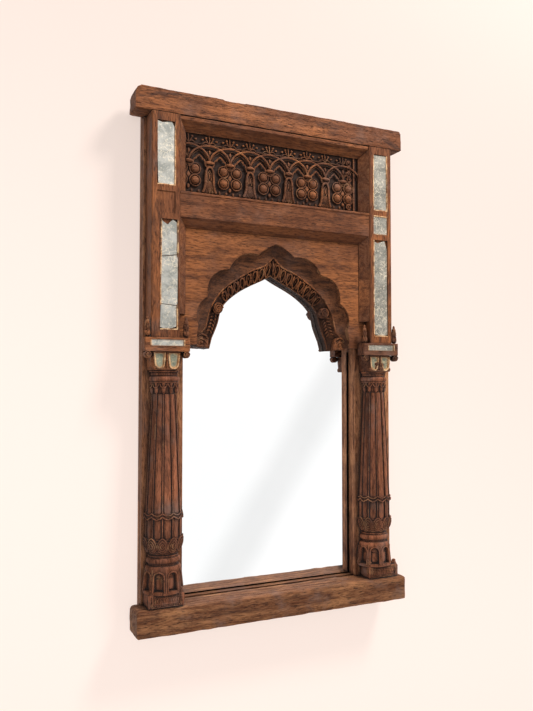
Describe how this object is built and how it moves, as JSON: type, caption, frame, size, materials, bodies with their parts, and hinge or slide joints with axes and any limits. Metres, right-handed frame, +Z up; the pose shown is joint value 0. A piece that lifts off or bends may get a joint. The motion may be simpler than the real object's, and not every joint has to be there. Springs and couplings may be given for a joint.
{
  "type": "wall mirror",
  "caption": "Tall wall mirror in a carved window frame with fluted columns, cusped arch, carved frieze and aged mirror inlays, hung on ring hangers.",
  "frame": {"origin": "middle of the back, on the wall plane, at half the frame's height", "axes": "+Z up, -Y out of the wall towards the viewer, +X to the viewer's right"},
  "size_m": [0.532, 0.0736, 0.91],
  "materials": {
    "carved_wood": "old carved hardwood, oiled, worn lighter on the edges and dark in the hollows",
    "plain_wood": "plain sawn timber, unfinished",
    "backing_board": "brown hardboard, smooth side out",
    "mirror_glass": "clear silvered glass",
    "aged_mirror": "mottled antique mirror, silvering worn and scratched",
    "petal_mirror": "darkened greenish antique mirror",
    "hanger_steel": "zinc-plated steel"
  },
  "bodies": {
    "frame": {"arch_panel": "carved_wood", "backing_board": "backing_board", "bottom_back_rail": "plain_wood", "bottom_beam": "carved_wood", "bottom_mirror_batten": "plain_wood", "frieze_panel": "carved_wood", "frieze_top_moulding": "carved_wood", "left_arch_reveal": "carved_wood", "left_capital_bell": "carved_wood", "left_capital_block": "carved_wood", "left_capital_collar": "carved_wood", "left_column_base": "carved_wood", "left_column_drum": "carved_wood", "left_column_shaft": "carved_wood", "left_frieze_reveal": "carved_wood", "left_hanger_plate": "hanger_steel", "left_inner_finial": "carved_wood", "left_long_inlay_1": "aged_mirror", "left_long_inlay_2": "aged_mirror", "left_long_inlay_3": "aged_mirror", "left_mirror_batten": "plain_wood", "left_outer_finial": "carved_wood", "left_petal_inlay_1": "petal_mirror", "left_petal_inlay_2": "petal_mirror", "left_pilaster": "carved_wood", "left_stile": "carved_wood", "left_strip_inlay": "aged_mirror", "left_top_inlay": "aged_mirror", "middle_back_rail": "plain_wood", "middle_rail": "carved_wood", "mirror_glass": "mirror_glass", "right_arch_reveal": "carved_wood", "right_capital_bell": "carved_wood", "right_capital_block": "carved_wood", "right_capital_collar": "carved_wood", "right_column_base": "carved_wood", "right_column_drum": "carved_wood", "right_column_shaft": "carved_wood", "right_frieze_reveal": "carved_wood", "right_hanger_plate": "hanger_steel", "right_inner_finial": "carved_wood", "right_long_inlay": "aged_mirror", "right_mirror_batten": "plain_wood", "right_outer_finial": "carved_wood", "right_petal_inlay_1": "petal_mirror", "right_petal_inlay_2": "petal_mirror", "right_pilaster": "carved_wood", "right_square_inlay": "aged_mirror", "right_stile": "carved_wood", "right_strip_inlay": "aged_mirror", "right_top_inlay": "aged_mirror", "top_back_rail": "plain_wood", "top_beam": "carved_wood", "top_mirror_batten": "plain_wood"},
    "left_ring": {"left_hanger_ring": "hanger_steel"},
    "right_ring": {"right_hanger_ring": "hanger_steel"}
  },
  "joints": [
    {"name": "left_ring_swing", "type": "hinge", "parent": "frame", "child": "left_ring", "pos_m": [-0.2092, -0.0047, 0.345], "axis": [1, 0, 0], "range_deg": [0, 180]},
    {"name": "right_ring_swing", "type": "hinge", "parent": "frame", "child": "right_ring", "pos_m": [0.2092, -0.0047, 0.345], "axis": [1, 0, 0], "range_deg": [0, 180]}
  ]
}
